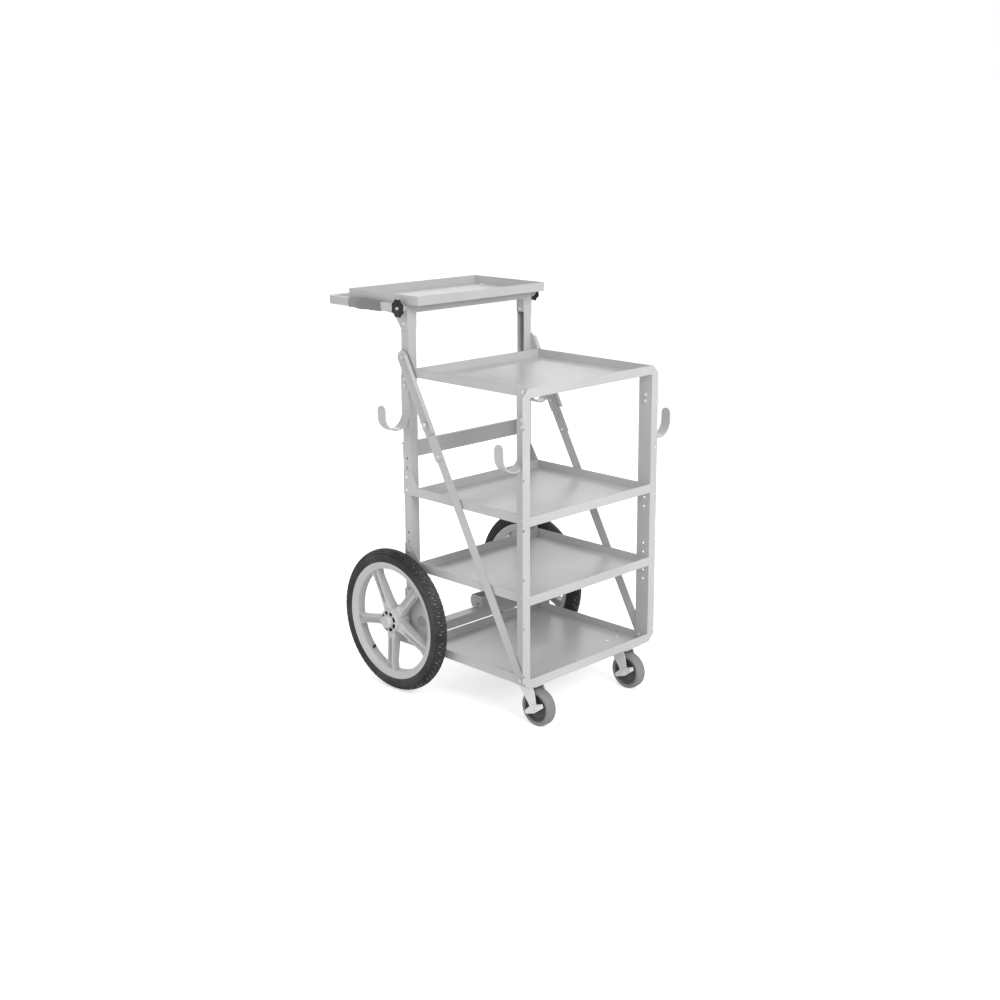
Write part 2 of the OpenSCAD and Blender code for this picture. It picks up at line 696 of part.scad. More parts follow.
// tapered spoke with a shallow channel in both faces
module spoke() {
    r0 = hub_r - 6;
    r1 = rim_r - 12;
    difference() {
        translate([0, 0, -11]) linear_extrude(22) polygon([[r0, -17], [r1, -13], [r1, 13], [r0, 17]]);
        for (z = [-12, 5]) translate([0, 0, z]) linear_extrude(7)
            polygon([[hub_r + 6, -9], [r1 - 12, -7], [r1 - 12, 7], [hub_r + 6, 9]]);
    }
}

module hub_cap(side) {
    color(paint) mirror_for(side) difference() {
        x_rod(hub_out, axle_end + 3, 18, axle_y, axle_z, 64);
        x_rod(hub_out - 1, axle_end + 1, 15, axle_y, axle_z, 64);
    }
}

// ---- casters ----

// places children at a caster's swivel axis, on the floor
module at_caster(side) {
    translate([side * caster_x, caster_y, 0]) children();
}

module caster_plate(side) {
    color(zinc) at_caster(side) difference() {
        union() {
            translate([-31, -46, plate_z]) cube([62, 92, 4]);
            translate([0, 0, crown_z + 4.5]) cylinder(h = plate_z - crown_z - 4.5, r = 24);
            translate([0, 0, crown_z - 5]) cylinder(h = plate_z - crown_z, r = 6 - run_gap);
            translate([0, 0, crown_z - 5]) cylinder(h = 4, r = 10);
        }
        for (dx = [-1, 1]) for (dy = [-1, 1])
            translate([dx * 22, dy * 36, plate_z - 1]) cylinder(h = 6, r = bolt_r + fit, $fn = 32);
    }
}

module caster_fork(side) {
    ay = -caster_trail;
    out = cheek_in + cheek_t;
    color(zinc) at_caster(side) {
        difference() {
            union() {
                translate([-out, -24, crown_z]) cube([2 * out, 46, 4]);
                for (x = [-out, cheek_in]) yz_plate(x, cheek_t, [
                    [22, crown_z + 4], [22, crown_z - 6], [ay + 12, caster_r + 4], [ay + 9, caster_r - 9],
                    [ay - 9, caster_r - 9], [ay - 12, caster_r + 4], [-24, crown_z - 2], [-24, crown_z + 4]]);
            }
            translate([0, 0, crown_z - 1]) cylinder(h = 6, r = 6);
            x_rod(-out - 1, out + 1, 5 + fit, ay, caster_r);
        }
        x_rod(-out - 3.4, out, 5, ay, caster_r);
        for (x = [-out - 6.4, out]) translate([x, ay, caster_r]) rotate([0, 90, 0])
            cylinder(h = 3, r = 8, $fn = 6);
    }
}

module caster_wheel(side) {
    w = caster_w / 2;
    color([0.72, 0.73, 0.74]) at_caster(side) difference() {
        union() {
            x_rod(-w + 2, w - 2, caster_r - 13, -caster_trail, caster_r, 96);
            x_rod(-w - 1.5, w + 1.5, 13, -caster_trail, caster_r);
        }
        x_rod(-w - 2, w + 2, 5 + run_gap, -caster_trail, caster_r);
    }
}

module caster_tread(side) {
    w = caster_w / 2;
    color([0.42, 0.42, 0.43]) translate([side * caster_x, caster_y - caster_trail, caster_r]) rotate([0, 90, 0])
        rotate_extrude($fn = 128) polygon([
            [caster_r - 13, -w + 1], [caster_r - 5, -w], [caster_r - 1.5, -w + 3], [caster_r, -w + 9],
            [caster_r, w - 9], [caster_r - 1.5, w - 3], [caster_r - 5, w], [caster_r - 13, w - 1]]);
}

// side brake lever turning on the caster's axle, pedal forward
module brake_lever(side) {
    x = -cheek_in - cheek_t - 3.2;
    color(zinc) at_caster(side) translate([0, -caster_trail, caster_r]) difference() {
        union() {
            yz_plate(x, 2.8, [[-38, 14], [-34, 24], [6, 10], [30, -12], [26, -20], [-6, -10]]);
            translate([x - 12, -37, 14]) rotate([-20, 0, 0]) cube([14.8, 3, 9]);
        }
        x_rod(x - 1, x + 4, 5 + run_gap, 0, 0);
    }
}

// origin on the floor under the middle of the bounding box
module placed() {
    translate([0, -y_mid, 0]) children();
}

placed() rear_post(-1);  // rear_post_left
placed() rear_post(1);  // rear_post_right
placed() front_post(-1);  // front_post_left
placed() front_post(1);  // front_post_right
placed() shelf(upper_z);  // shelf_upper
placed() shelf(middle_z);  // shelf_middle
placed() shelf(lower_z);  // shelf_lower
placed() shelf(bottom_z);  // shelf_bottom
placed() top_tray();
placed() top_rail();
placed() back_rail();
placed() axle_beam();
placed() tray_bracket(-1);  // tray_bracket_left
placed() tray_bracket(1);  // tray_bracket_right
placed() strut_upper(-1);  // strut_upper_left
placed() strut_upper(1);  // strut_upper_right
placed() strut_lower(-1);  // strut_lower_left
placed() strut_lower(1);  // strut_lower_right
placed() strut_splices();
placed() rear_hook(-1);  // hook_rear_left
placed() rear_hook(1);  // hook_rear_right
placed() front_hook(-1);  // hook_front_left
placed() front_hook(1);  // hook_front_right
placed() axle_plate(-1);  // axle_plate_left
placed() axle_plate(1);  // axle_plate_right
placed() rear_channel(-1);  // rear_channel_left
placed() rear_channel(1);  // rear_channel_right
placed() stub_axle(-1);  // stub_axle_left
placed() stub_axle(1);  // stub_axle_right
placed() axle_nuts();
placed() shelf_bolts();
placed() strut_bolts();
placed() hook_bolts();
placed() tray_screws();
placed() rail_bolts();
placed() caster_bolts();
placed() knob_nuts();
placed() handle_bar();
placed() grip(-1);  // grip_left
placed() grip(1);  // grip_right
placed() knob(-1);  // knob_left
placed() knob(1);  // knob_right
placed() wing_screw(-1);  // wing_screw_left
placed() wing_screw(1);  // wing_screw_right
placed() tyre(-1);  // tyre_left
placed() tyre(1);  // tyre_right
placed() wheel(-1);  // wheel_left
placed() wheel(1);  // wheel_right
placed() hub_cap(-1);  // hub_cap_left
placed() hub_cap(1);  // hub_cap_right
placed() caster_plate(-1);  // caster_plate_left
placed() caster_plate(1);  // caster_plate_right
placed() caster_fork(-1);  // caster_fork_left
placed() caster_fork(1);  // caster_fork_right
placed() caster_wheel(-1);  // caster_wheel_left
placed() caster_wheel(1);  // caster_wheel_right
placed() caster_tread(-1);  // caster_tread_left
placed() caster_tread(1);  // caster_tread_right
placed() brake_lever(-1);  // brake_lever_left
placed() brake_lever(1);  // brake_lever_right
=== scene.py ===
"""Looks of the four-shelf utility cart: powder-coated steel, cast wheels, ribbed tyres,
hand grips, clamp knobs and casters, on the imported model's frame. Lengths are in metres."""

import json
import math

import bmesh
import bpy
import numpy as np
from mathutils import Matrix, Vector


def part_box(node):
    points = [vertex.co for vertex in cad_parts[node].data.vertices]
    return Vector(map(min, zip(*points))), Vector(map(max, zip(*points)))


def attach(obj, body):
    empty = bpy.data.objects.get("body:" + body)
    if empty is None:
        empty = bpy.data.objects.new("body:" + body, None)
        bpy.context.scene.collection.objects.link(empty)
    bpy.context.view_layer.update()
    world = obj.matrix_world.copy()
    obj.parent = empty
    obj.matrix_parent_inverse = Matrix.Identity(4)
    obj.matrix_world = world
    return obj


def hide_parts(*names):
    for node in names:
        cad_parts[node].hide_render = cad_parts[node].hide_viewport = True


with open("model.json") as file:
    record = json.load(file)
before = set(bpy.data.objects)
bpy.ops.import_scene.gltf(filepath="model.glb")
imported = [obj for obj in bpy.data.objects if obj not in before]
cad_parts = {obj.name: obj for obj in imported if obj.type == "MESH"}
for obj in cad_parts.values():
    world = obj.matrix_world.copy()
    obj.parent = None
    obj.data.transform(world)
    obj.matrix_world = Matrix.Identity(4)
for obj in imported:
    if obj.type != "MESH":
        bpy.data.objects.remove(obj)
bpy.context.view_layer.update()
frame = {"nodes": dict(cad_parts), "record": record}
NODES = frame["nodes"]
SIDES = {"left": -1.0, "right": 1.0}
TURN = 2.0 * math.pi
MM = 0.001
SPOKES = 5
FIRST_SPOKE = math.radians(6.0 - 90.0)      # turn of the first spoke from +Y
VALVE_TURN = math.radians(42.0 - 90.0)      # turn of the valve from +Y
CASTER_TRAIL = 0.028                        # small wheel's axle in front of its swivel
ARM_THICK = 0.014                           # thickness of the handle bar's section
HANDLE_CORNER = 0.026                       # outside corner radius of the handle
KNOB_DEPTH = 0.027


def middle(node):
    """Centre of a CAD node's box, as an array."""
    low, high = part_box(node)
    return (np.array(low) + np.array(high)) / 2.0


def size(node):
    """Side lengths of a CAD node's box."""
    low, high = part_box(node)
    return np.array(high) - np.array(low)


# ---------------------------------------------------------------- surfaces

def grid_faces(rows, columns, close_rows, close_columns):
    """Quads of a rows x columns grid of points: corner k of cell (i, j) is the point at
    (i, j), (i + 1, j), (i + 1, j + 1) or (i, j + 1), counted round where the grid closes."""
    i = np.arange(rows if close_rows else rows - 1)[:, None]
    j = np.arange(columns if close_columns else columns - 1)[None, :]
    i2, j2 = (i + 1) % rows, (j + 1) % columns
    corners = [i * columns + j, i2 * columns + j, i2 * columns + j2, i * columns + j2]
    return np.stack(np.broadcast_arrays(*corners), axis=-1).reshape(-1, 4)


def shell(points, close_rows=False, close_columns=True, paint=None):
    """One closed skin: a (rows, columns, 3) grid of points and its faces, with the number
    of the material of each face, or one number for all of them."""
    rows, columns = points.shape[:2]
    faces = grid_faces(rows, columns, close_rows, close_columns)
    slots = np.zeros(len(faces), int) if paint is None else np.broadcast_to(paint, (len(faces),))
    return points.reshape(-1, 3), faces, slots


def piece(name, shells, materials, body, stands_for=(), smooth_angle=38.0):
    """One object from several skins laid together. Doubles at poles and seams are merged,
    faces are turned outwards, and edges flatter than smooth_angle degrees shade smooth."""
    count = np.cumsum([0] + [len(s[0]) for s in shells])
    points = np.concatenate([s[0] for s in shells])
    faces = np.concatenate([s[1] + n for s, n in zip(shells, count)])
    slots = np.concatenate([s[2] for s in shells]).astype(np.int32)
    mesh = bpy.data.meshes.new(name)
    mesh.from_pydata(points, [], faces)
    for material in materials:
        mesh.materials.append(material)
    mesh.polygons.foreach_set("material_index", slots)
    work = bmesh.new()
    work.from_mesh(mesh)
    bmesh.ops.remove_doubles(work, verts=work.verts, dist=2e-6)
    bmesh.ops.dissolve_degenerate(work, edges=work.edges, dist=1e-7)
    bmesh.ops.recalc_face_normals(work, faces=work.faces)
    work.to_mesh(mesh)
    work.free()
    mesh.shade_smooth()
    mesh.set_sharp_from_angle(angle=math.radians(smooth_angle))
    made = bpy.data.objects.new(name, mesh)
    bpy.context.scene.collection.objects.link(made)
    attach(made, body)
    if stands_for:
        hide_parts(*stands_for)
    return made


def smooth(x):
    """0 below 0, 1 above 1, and 3x^2 - 2x^3 between them."""
    x = np.clip(x, 0.0, 1.0)
    return x * x * (3.0 - 2.0 * x)


def rounded_loop(corners, radius, steps=5):
    """Closed outline with its corners rounded. At each corner the two points a distance
    radius away along the sides are joined by the quadratic curve that the corner draws."""
    corners = np.asarray(corners, float)
    radius = np.broadcast_to(radius, (len(corners),))[:, None]
    before, after = np.roll(corners, 1, 0) - corners, np.roll(corners, -1, 0) - corners
    def reach(side):
        length = np.linalg.norm(side, axis=1, keepdims=True)
        return corners + side / length * np.minimum(radius, 0.48 * length)
    start, end = reach(before)[:, None], reach(after)[:, None]
    t = np.linspace(0.0, 1.0, steps)[None, :, None]
    return ((1 - t) ** 2 * start + 2 * t * (1 - t) * corners[:, None] + t * t * end).reshape(-1, 2)


def about_x(radius, along, centre, steps=96, closed=False, paint=None):
    """Surface of revolution about the X direction through centre: the point at angle a is
    (along, radius cos a, radius sin a)."""
    a = np.arange(steps) / steps * TURN
    x = np.broadcast_to(np.asarray(along)[:, None], (len(along), steps))
    radius = np.asarray(radius)[:, None]
    points = np.stack([x, radius * np.cos(a), radius * np.sin(a)], -1) + np.asarray(centre)
    return shell(points, close_rows=closed, paint=paint)


def rounded_box_section(half_width, half_height, corner, steps=6):
    """Outline of a rectangle of those half sizes with rounded corners, starting on +x."""
    w, h = half_width, half_height
    return rounded_loop([[w, h], [-w, h], [-w, -h], [w, -h]], corner, steps)


# ---------------------------------------------------------------- shared effects

def new_group(name, inputs, outputs):
    """Empty shader node group with named inputs {name: (type, default)} and outputs."""
    group = bpy.data.node_groups.new(name, "ShaderNodeTree")
    for label, (kind, value) in inputs.items():
        socket = group.interface.new_socket(label, in_out="INPUT", socket_type=kind)
        if value is not None:
            socket.default_value = value
    for label, kind in outputs.items():
        group.interface.new_socket(label, in_out="OUTPUT", socket_type=kind)
    return group, group.nodes.new("NodeGroupInput"), group.nodes.new("NodeGroupOutput")


class Wires:
    """Short ways to add and join nodes in one tree."""

    def __init__(self, tree):
        self.tree = tree

    def add(self, kind, settings=None, **sockets):
        node = self.tree.nodes.new(kind)
        for key, value in (settings or {}).items():
            setattr(node, key, value)
        for key, value in sockets.items():
            self.feed(node, key.replace("_", " "), value)
        return node

    def feed(self, node, key, value):
        socket = node.inputs[key]
        if isinstance(value, bpy.types.NodeSocket):
            self.tree.links.new(value, socket)
        else:
            socket.default_value = value

    def math(self, operation, a, b=0.0, clamp=False):
        node = self.add("ShaderNodeMath", {"operation": operation, "use_clamp": clamp})
        for index, value in enumerate((a, b)):
            self.feed(node, index, value)
        return node.outputs[0]

    def mix(self, factor, a, b):
        node = self.add("ShaderNodeMix", {"data_type": "RGBA"})
        for index, value in ((0, factor), (6, a), (7, b)):
            self.feed(node, index, value)
        return node.outputs[2]

    def ramp(self, value, low, high):
        node = self.add("ShaderNodeMapRange", {"interpolation_type": "SMOOTHSTEP"})
        for key, given in (("Value", value), ("From Min", low), ("From Max", high)):
            self.feed(node, key, given)
        return node.outputs[0]


def edge_wear_group():
    """Soft mask along a piece's worn edges: where the shaded normal, rounded over a small
    radius, leaves the true normal, broken up by noise."""
    group, source, result = new_group(
        "edge wear",
        {"Radius": ("NodeSocketFloat", 0.0012), "Breakup": ("NodeSocketFloat", 90.0)},
        {"Mask": "NodeSocketFloat", "Normal": "NodeSocketVector"})
    w = Wires(group)
    place = w.add("ShaderNodeTexCoord")
    true = w.add("ShaderNodeNewGeometry")
    soft = w.add("ShaderNodeBevel", {"samples": 4}, Radius=source.outputs["Radius"])
    cosine = w.add("ShaderNodeVectorMath", {"operation": "DOT_PRODUCT"})
    w.tree.links.new(soft.outputs[0], cosine.inputs[0])
    w.tree.links.new(true.outputs["Normal"], cosine.inputs[1])
    noise = w.add("ShaderNodeTexNoise", Vector=place.outputs["Object"],
                  Scale=source.outputs["Breakup"], Detail=4.0, Roughness=0.65)
    bend = w.math("SUBTRACT", 1.0, cosine.outputs["Value"])
    edge = w.math("MULTIPLY", bend, w.ramp(noise.outputs["Fac"], 0.45, 0.75), clamp=True)
    w.tree.links.new(w.math("MULTIPLY", edge, 3.0, clamp=True), result.inputs["Mask"])
    w.tree.links.new(soft.outputs[0], result.inputs["Normal"])
    return group


def dust_group():
    """Mask of thin dust: more on faces that look up, in broad uneven patches."""
    group, source, result = new_group(
        "dust", {"Amount": ("NodeSocketFloat", 0.3)}, {"Mask": "NodeSocketFloat"})
    w = Wires(group)
    place = w.add("ShaderNodeTexCoord")
    up = w.add("ShaderNodeSeparateXYZ", Vector=w.add("ShaderNodeNewGeometry").outputs["Normal"])
    broad = w.add("ShaderNodeTexNoise", Vector=place.outputs["Object"], Scale=7.0, Detail=5.0,
                  Roughness=0.6)
    fine = w.add("ShaderNodeTexNoise", Vector=place.outputs["Object"], Scale=240.0, Detail=2.0)
    patches = w.ramp(broad.outputs["Fac"], 0.38, 0.72)
    lying = w.math("ADD", 0.35, w.math("MULTIPLY", w.math("MAXIMUM", up.outputs["Z"], 0.0), 0.65))
    grains = w.math("ADD", 0.7, w.math("MULTIPLY", fine.outputs["Fac"], 0.6))
    mask = w.math("MULTIPLY", w.math("MULTIPLY", patches, lying), grains)
    w.tree.links.new(w.math("MULTIPLY", mask, source.outputs["Amount"], clamp=True),
                     result.inputs["Mask"])
    return group


def grain_group():
    """Fine surface height and a slow change of tone, both from noise on the piece."""
    group, source, result = new_group(
        "grain",
        {"Scale": ("NodeSocketFloat", 900.0), "Stretch": ("NodeSocketVector", (1.0, 1.0, 1.0))},
        {"Height": "NodeSocketFloat", "Tone": "NodeSocketFloat"})
    w = Wires(group)
    place = w.add("ShaderNodeTexCoord")
    drawn = w.add("ShaderNodeVectorMath", {"operation": "MULTIPLY"})
    w.tree.links.new(place.outputs["Object"], drawn.inputs[0])
    w.tree.links.new(source.outputs["Stretch"], drawn.inputs[1])
    fine = w.add("ShaderNodeTexNoise", Vector=drawn.outputs[0], Scale=source.outputs["Scale"],
                 Detail=3.0, Roughness=0.55)
    slow = w.add("ShaderNodeTexNoise", Vector=place.outputs["Object"], Scale=4.5, Detail=3.0)
    w.tree.links.new(fine.outputs["Fac"], result.inputs["Height"])
    w.tree.links.new(slow.outputs["Fac"], result.inputs["Tone"])
    return group


EDGE_WEAR, DUST, GRAIN = edge_wear_group(), dust_group(), grain_group()


# ---------------------------------------------------------------- finishes

def grey(value, warmth=0.0):
    """Linear grey, a little warmer or cooler."""
    return (value * (1 + warmth), value, value * (1 - warmth), 1.0)


def finish_of(name, colour, shade, roughness, metallic=0.0, grain=900.0, stretch=(1, 1, 1),
              bump=0.05, bump_depth=0.0002, wear=0.0, wear_colour=None, wear_radius=0.0012,
              dust=0.0, rough_spread=0.06, coat=0.0, specular=0.5):
    """A painted, plated or moulded finish: colour drifts to shade with the grain's slow
    tone, then worn edges and dust lie over it; the grain's height feeds the bump."""
    material = bpy.data.materials.new(name)
    material.use_nodes = True
    w = Wires(material.node_tree)
    skin = material.node_tree.nodes["Principled BSDF"]
    skin.inputs["Metallic"].default_value = metallic
    skin.inputs["Coat Weight"].default_value = coat
    skin.inputs["Coat Roughness"].default_value = 0.25
    skin.inputs["Specular IOR Level"].default_value = specular
    texture = w.add("ShaderNodeGroup", {"node_tree": GRAIN}, Scale=grain, Stretch=stretch)
    tone = w.ramp(texture.outputs["Tone"], 0.35, 0.65)
    mixed = w.mix(tone, colour, shade)
    edges = w.add("ShaderNodeGroup", {"node_tree": EDGE_WEAR}, Radius=wear_radius, Breakup=70.0)
    if wear > 0.0:
        worn = w.math("MULTIPLY", edges.outputs["Mask"], wear)
        mixed = w.mix(worn, mixed, wear_colour)
    if dust > 0.0:
        film = w.add("ShaderNodeGroup", {"node_tree": DUST}, Amount=dust)
        mixed = w.mix(film.outputs["Mask"], mixed, grey(0.42, 0.03))
    w.feed(skin, "Base Color", mixed)
    spread = w.math("MULTIPLY", texture.outputs["Tone"], rough_spread)
    w.feed(skin, "Roughness", w.math("ADD", spread, roughness - rough_spread / 2))
    relief = w.add("ShaderNodeBump", Strength=bump, Distance=bump_depth,
                   Height=texture.outputs["Height"], Normal=edges.outputs["Normal"])
    w.feed(skin, "Normal", relief.outputs[0])
    return material


powder_coat = finish_of("powder coat", grey(0.53), grey(0.49), 0.34, grain=1400.0, bump=0.12,
                        wear=0.16, wear_colour=grey(0.36), dust=0.05, coat=0.25)
wheel_paint = finish_of("cast wheel paint", grey(0.56), grey(0.50), 0.38, grain=1100.0,
                        bump=0.15, wear=0.2, wear_colour=grey(0.62), dust=0.06)
tyre_rubber = finish_of("tyre rubber", grey(0.018), grey(0.028), 0.66, grain=800.0, bump=0.35,
                        bump_depth=0.0004, wear=0.5, wear_colour=grey(0.10), dust=0.22,
                        specular=0.35)
zinc_plate = finish_of("zinc plate", grey(0.86, -0.01), grey(0.74, -0.015), 0.30, metallic=0.55,
                       grain=500.0, bump=0.12, wear=0.3, wear_colour=grey(0.8), dust=0.05,
                       rough_spread=0.16)
caster_rubber = finish_of("caster rubber", grey(0.22), grey(0.25), 0.58, grain=900.0, bump=0.2,
                          wear=0.2, wear_colour=grey(0.34), dust=0.15)
caster_core = finish_of("caster core", grey(0.055), grey(0.075), 0.5, grain=900.0, bump=0.15,
                        wear=0.2, wear_colour=grey(0.2), dust=0.2)
knob_plastic = finish_of("knob plastic", grey(0.006), grey(0.010), 0.36, grain=1500.0,
                         bump=0.25, wear=0.25, wear_colour=grey(0.06), dust=0.05)
grip_rubber = finish_of("grip rubber", grey(0.20), grey(0.30), 0.62, grain=1600.0, bump=0.3,
                        wear=0.2, wear_colour=grey(0.26), dust=0.08)
tread_dust = finish_of("dusty tread grooves", grey(0.10), grey(0.22), 0.85, grain=500.0, bump=0.3,
                       dust=0.4)
# near-black painted shade for the floors of the hub pockets, standing in for the shadow that falls
# inside them
pocket_painted_shade = finish_of("pocket painted shade", grey(0.008), grey(0.012), 0.8, dust=0.05)

FINISHES = {"frame_paint": powder_coat, "wheel_paint": wheel_paint, "tyre_rubber": tyre_rubber,
            "zinc_steel": zinc_plate, "caster_core": caster_core,
            "caster_rubber": caster_rubber, "black_plastic": knob_plastic,
            "grip_rubber": grip_rubber}
for part in frame["record"]["subparts"]:
    skin = NODES[part["node"]].data
    skin.materials.clear()
    skin.materials.append(FINISHES[part["material_slot"]])


# ---------------------------------------------------------------- large wheels

def tyre(centre, radius, half):
    """Tyre round the X axis. At angle a round the wheel and b round the section the radius
    is radius - half + half cos b and the width half sin b, both pressed in by the tread:
    staggered blocks, a centre rib and shoulder lugs between grooves, and by rings in the
    sidewall. Most of the cross grooves' floors take the second, dusty material."""
    around, across = 864, 72
    a = (np.arange(around) / around * TURN)[:, None]
    b = (np.arange(across) / across * TURN - math.pi)[None, :]
    crown = 1.0 - smooth((np.abs(b) - 1.05) / 0.12)
    lane = np.abs(b) / 1.05
    row = np.floor(lane * 3.0)
    beat = 72.0 * a / TURN + 0.5 * (row % 2) + 0.10 * np.sign(b)
    saw = np.abs((beat % 1.0) - 0.5) * 2.0
    gap = 1.0 - smooth((0.86 - saw) / 0.16)
    split = 1.0 - smooth((np.abs((lane * 3.0 + 0.5) % 1.0 - 0.5) - 0.09) / 0.09)
    split = split * (lane > 0.16)
    groove = crown * np.maximum(gap * (lane > 0.2), split)
    rings = 0.35 * (0.5 + 0.5 * np.cos(b * 26.0)) * smooth((np.abs(b) - 1.25) / 0.1)
    rings = rings * (1.0 - smooth((np.abs(b) - 2.0) / 0.2))
    press = 0.0030 * groove + 0.0006 * rings
    r = radius - half + (half - press) * np.cos(b)
    x = (half - press) * np.sin(b) + 0.0 * a
    points = np.stack([x, r * np.cos(a), r * np.sin(a)], -1) + np.asarray(centre)
    uneven = np.sin(41.0 * a) + np.sin(97.0 * a + 3.0 * lane)
    dusty = (crown * gap * (lane > 0.2) * (lane < 0.72) * (uneven > -0.55) > 0.75).astype(int)
    return shell(points, close_rows=True, paint=dusty.reshape(-1))


def rim(centre, radius):
    """Cast rim: the closed outline of its section, with rounded corners, carried round."""
    outline = np.array([[168.4, -19.4], [168.0, -15.5], [161, -13], [160, 0], [161, 13],
                        [168.0, 15.5], [168.4, 19.4], [164.5, 19.8], [159.5, 18.6],
                        [154.5, 15.6], [148.5, 13.4], [147.0, 11.0], [147.0, -11.0],
                        [148.5, -13.4], [154.5, -15.6], [159.5, -18.6], [164.5, -19.8]]) * MM
    outline[:, 0] += radius - 168.0 * MM
    loop = rounded_loop(outline, 0.0022, 4)
    return about_x(loop[:, 0], loop[:, 1], centre, steps=192, closed=True)


def spoke(centre, turn, outward):
    """Cast spoke from the hub to the rim. Along it, s from 0 to 1, the section is a
    rounded rectangle whose half width flares at both ends and whose half depth falls from
    the hub to the rim; a channel that widens with s is sunk into both faces."""
    s = np.linspace(0.0, 1.0, 56)[:, None]
    reach = 0.024 + s * 0.129
    half_width = 0.0115 + 0.0045 * (1 - smooth(s / 0.35)) + 0.0065 * smooth((s - 0.78) / 0.22)
    half_depth = 0.0165 - 0.0045 * s
    b = (np.arange(72) / 72 * TURN)[None, :]
    power = 0.32
    across = np.sign(np.cos(b)) * np.abs(np.cos(b)) ** power
    depth = np.sign(np.sin(b)) * np.abs(np.sin(b)) ** power
    channel = (1 - smooth((np.abs(across) - 0.34 - 0.22 * s) / 0.16))
    channel = channel * smooth((s - 0.16) / 0.16) * (1 - smooth((s - 0.93) / 0.06))
    sunk = depth * half_depth * (1.0 - 0.68 * channel * np.abs(depth))
    t, x = across * half_width, sunk * outward
    cy, sy = math.cos(turn), math.sin(turn)
    points = np.stack([x, reach * cy - t * sy, reach * sy + t * cy], -1) + np.asarray(centre)
    return shell(points)


def hub(centre, inner, outer, outward):
    """Hub barrel: a closed rounded section carried round the axle, with eight pockets sunk 5 mm
    into its outer face between radii of about 20 and 28 mm. The pocket floors take the second,
    near-black material: painted shade standing in for the shadow inside the pockets. Lengths in
    here are in millimetres."""
    corner_points = 4
    outline = rounded_loop(np.array([[8.2, inner], [32, inner], [33.5, inner + 6],
                                     [33.5, outer - 5], [32, outer], [8.2, outer]]),
                           2.0, corner_points)
    face = np.linspace(30.0, 10.0, 45)
    before_face = 5 * corner_points
    ring = np.concatenate([outline[:before_face], np.stack([face, 0 * face + outer], 1),
                           outline[before_face:]])
    steps = 240
    a = np.arange(steps) / steps * TURN
    radius, along = ring[:, :1], ring[:, 1:]
    on_face = (along > outer - 0.5)
    sector = np.abs(((a / TURN * 8.0) % 1.0) - 0.5)
    wide = 1 - smooth((sector[None, :] - 0.31) / 0.05)
    tall = smooth((radius - 19.4) / 0.8) * (1 - smooth((radius - 28.4) / 0.8))
    pocket = on_face * wide * tall
    x = (along - 5.0 * pocket) * outward
    points = np.stack([x, radius * np.cos(a), radius * np.sin(a)], -1) * MM + np.asarray(centre)
    # faces deep in a pocket take the near-black painted shade material
    dark = (pocket > 0.45).astype(int)
    return shell(points, close_rows=True, paint=dark.reshape(-1))


def rod_along(start, direction, radii, places, steps=32, paint=None):
    """Turned shape about a line: radius radii[k] at distance places[k] from start."""
    direction = np.asarray(direction, float) / np.linalg.norm(direction)
    side = np.cross(direction, [1.0, 0.0, 0.0] if abs(direction[0]) < 0.9 else [0.0, 1.0, 0.0])
    side = side / np.linalg.norm(side)
    other = np.cross(direction, side)
    a = (np.arange(steps) / steps * TURN)[None, :, None]
    r, d = np.asarray(radii)[:, None, None], np.asarray(places)[:, None, None]
    points = np.asarray(start) + d * direction + r * (np.cos(a) * side + np.sin(a) * other)
    return shell(points, paint=paint)


for side, s in SIDES.items():
    middle_of_tyre = middle("tyre_" + side)
    tyre_size = size("tyre_" + side)
    low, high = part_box("wheel_" + side)
    body = "rolling_wheel_" + side
    radius = tyre_size[2] / 2.0
    piece("tyre_tread_" + side, [tyre(middle_of_tyre, radius, tyre_size[0] / 2.0)],
          [tyre_rubber, tread_dust], body, smooth_angle=50.0)
    inward = -np.array([0.0, math.cos(VALVE_TURN), math.sin(VALVE_TURN)])
    valve = rod_along(middle_of_tyre - inward * 0.160, inward,
                      np.array([0, 4.6, 4.6, 3.1, 3.1, 4.0, 4.0, 3.6, 0]) * MM,
                      np.array([0, 0, 9, 12, 15, 15.4, 23, 24.4, 24.6]) * MM)
    piece("tyre_valve_" + side, [valve], [tyre_rubber], body, ["tyre_" + side])
    inner = (abs(low[0]) if s > 0 else abs(high[0])) - abs(middle_of_tyre[0])
    outer = (abs(high[0]) if s > 0 else abs(low[0])) - abs(middle_of_tyre[0])
    rim_radius = (high[2] - low[2]) / 2.0
    spokes = [spoke(middle_of_tyre, FIRST_SPOKE + TURN / SPOKES * k, s) for k in range(SPOKES)]
    piece("wheel_casting_" + side,
          [rim(middle_of_tyre, rim_radius)] + spokes
          + [hub(middle_of_tyre, inner / MM, outer / MM, s)],
          [wheel_paint, pocket_painted_shade], body, ["wheel_" + side])
    low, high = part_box("hub_cap_" + side)
    x0, x1 = (low[0], high[0]) if s > 0 else (high[0], low[0])
    thick = abs(x1 - x0)
    edge = (high[2] - low[2]) / 2.0
    r = np.array([0, 5.5, 6.2, 12.5, 14.5, 16.5, edge / MM, edge / MM]) * MM
    d = np.array([thick - 1e-3, thick - 1e-3, thick - 3e-4, thick, thick - 2e-4, thick - 1e-3,
                  thick - 3.4e-3, 0.0])
    cap = rod_along([x0, middle_of_tyre[1], middle_of_tyre[2]], [s, 0, 0],
                    np.append(r, 0.0), np.append(d, 0.0), 64)
    piece("hub_cover_" + side, [cap], [wheel_paint], body, ["hub_cap_" + side], 50.0)


# ---------------------------------------------------------------- casters

def caster_tyre(centre, radius, half, core):
    """Rounded tread ring: closed section with soft shoulders carried round the axle."""
    w = half
    outline = rounded_loop([[core, -w + 0.001], [radius - 0.006, -w], [radius - 0.0015, -w + 0.004],
                            [radius, -w + 0.010], [radius, w - 0.010],
                            [radius - 0.0015, w - 0.004], [radius - 0.006, w], [core, w - 0.001]],
                           0.003, 5)
    return about_x(outline[:, 0], outline[:, 1], centre, 128, closed=True)


